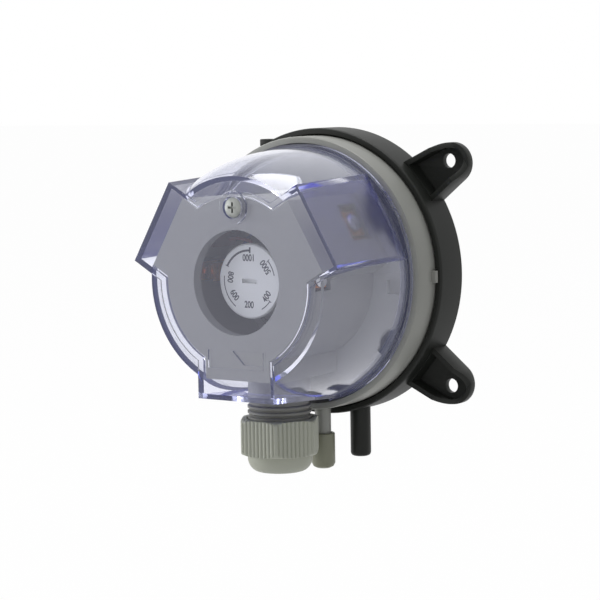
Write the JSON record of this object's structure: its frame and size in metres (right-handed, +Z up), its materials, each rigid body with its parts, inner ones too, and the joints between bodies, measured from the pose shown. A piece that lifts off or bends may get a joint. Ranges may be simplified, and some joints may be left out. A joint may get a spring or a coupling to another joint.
{
  "type": "differential pressure switch",
  "caption": "Round wall-mounted air differential pressure switch with a black base, grey housing, clear cover, setpoint dial, cable gland and two hose ports.",
  "frame": {"origin": "centre of the flat rear face that lies on the wall", "axes": "+Z up, -Y forwards out of the wall towards the clear cover, +X to the side with the two ears"},
  "size_m": [0.089, 0.0546, 0.1005],
  "materials": {
    "black_plastic": "satin moulded",
    "grey_plastic": "satin moulded",
    "clear_plastic": "clear, slightly blue",
    "white_plastic": "satin moulded",
    "cap_plastic": "soft olive grey",
    "switch_plastic": "black phenolic",
    "board_brown": "brown laminate",
    "copper": "bright copper strip",
    "brass": "turned",
    "steel": "plated",
    "rubber": "matt",
    "lead_red": "insulation",
    "lead_blue": "insulation",
    "lead_black": "insulation"
  },
  "bodies": {
    "housing": {"base_chamber": "black_plastic", "housing_screw_1": "steel", "housing_screw_2": "steel", "housing_screw_3": "steel", "housing_screw_4": "steel", "diaphragm": "rubber", "upper_housing": "grey_plastic", "inner_shroud": "grey_plastic", "terminal_board_no": "board_brown", "terminal_board_nc": "board_brown", "terminal_board_com": "board_brown", "terminal_plate_no": "copper", "terminal_plate_nc": "copper", "terminal_plate_com": "copper", "terminal_screw_no": "steel", "terminal_screw_nc": "steel", "terminal_screw_com": "steel", "gland_seal": "rubber", "cover_seal": "rubber", "range_spring": "steel", "switch_base": "switch_plastic", "lever_pin": "steel", "fixed_contact_nc": "copper", "fixed_contact_no": "copper", "lead_nc": "lead_red", "lead_no": "lead_blue", "lead_com": "lead_black"},
    "cover_body": {"cover": "clear_plastic"},
    "cover_screw_body": {"cover_screw": "steel"},
    "plunger_body": {"plunger": "white_plastic", "diaphragm_plate": "steel"},
    "lever_body": {"contact_lever": "copper"},
    "dial_body": {"setpoint_dial": "white_plastic"},
    "adjuster_body": {"spring_adjuster": "brass"},
    "gland_nut_body": {"gland_nut": "grey_plastic"},
    "port_cap_body": {"port_cap": "cap_plastic"}
  },
  "joints": [
    {"name": "cover_lift_off", "type": "slide", "parent": "housing", "child": "cover_body", "axis": [0, -1, 0], "range_m": [0, 0.06]},
    {"name": "cover_screw_turn", "type": "hinge", "parent": "cover_body", "child": "cover_screw_body", "pos_m": [0.0005, -0.0535, 0.0214], "axis": [0, -1, 0], "continuous": true},
    {"name": "plunger_travel", "type": "slide", "parent": "housing", "child": "plunger_body", "axis": [0, -1, 0], "range_m": [0, 0.0008], "stiffness_N_per_m": 1200, "springref_m": -0.0005, "deforming": ["range_spring"]},
    {"name": "contact_lever_tilt", "type": "hinge", "parent": "housing", "child": "lever_body", "pos_m": [-0.0165, -0.026, 0.002], "axis": [0, 0, -1], "range_deg": [0, 3.9]},
    {"name": "setpoint_turn", "type": "hinge", "parent": "housing", "child": "dial_body", "pos_m": [0, -0.0457, 0], "axis": [0, 1, 0], "range_deg": [0, 270]},
    {"name": "adjuster_travel", "type": "slide", "parent": "housing", "child": "adjuster_body", "axis": [0, 1, 0], "range_m": [0, 0.003], "deforming": ["range_spring"]},
    {"name": "gland_nut_turn", "type": "hinge", "parent": "housing", "child": "gland_nut_body", "pos_m": [0, -0.0328, -0.0467], "axis": [0, 0, 1], "continuous": true},
    {"name": "port_cap_pull", "type": "slide", "parent": "housing", "child": "port_cap_body", "axis": [0, 0, -1], "range_m": [0, 0.02]}
  ],
  "couplings": [
    {"joint": "contact_lever_tilt", "follows": "plunger_travel", "rad_per_m": 83.333},
    {"joint": "setpoint_turn", "follows": "adjuster_travel", "rad_per_m": 1570.8}
  ]
}
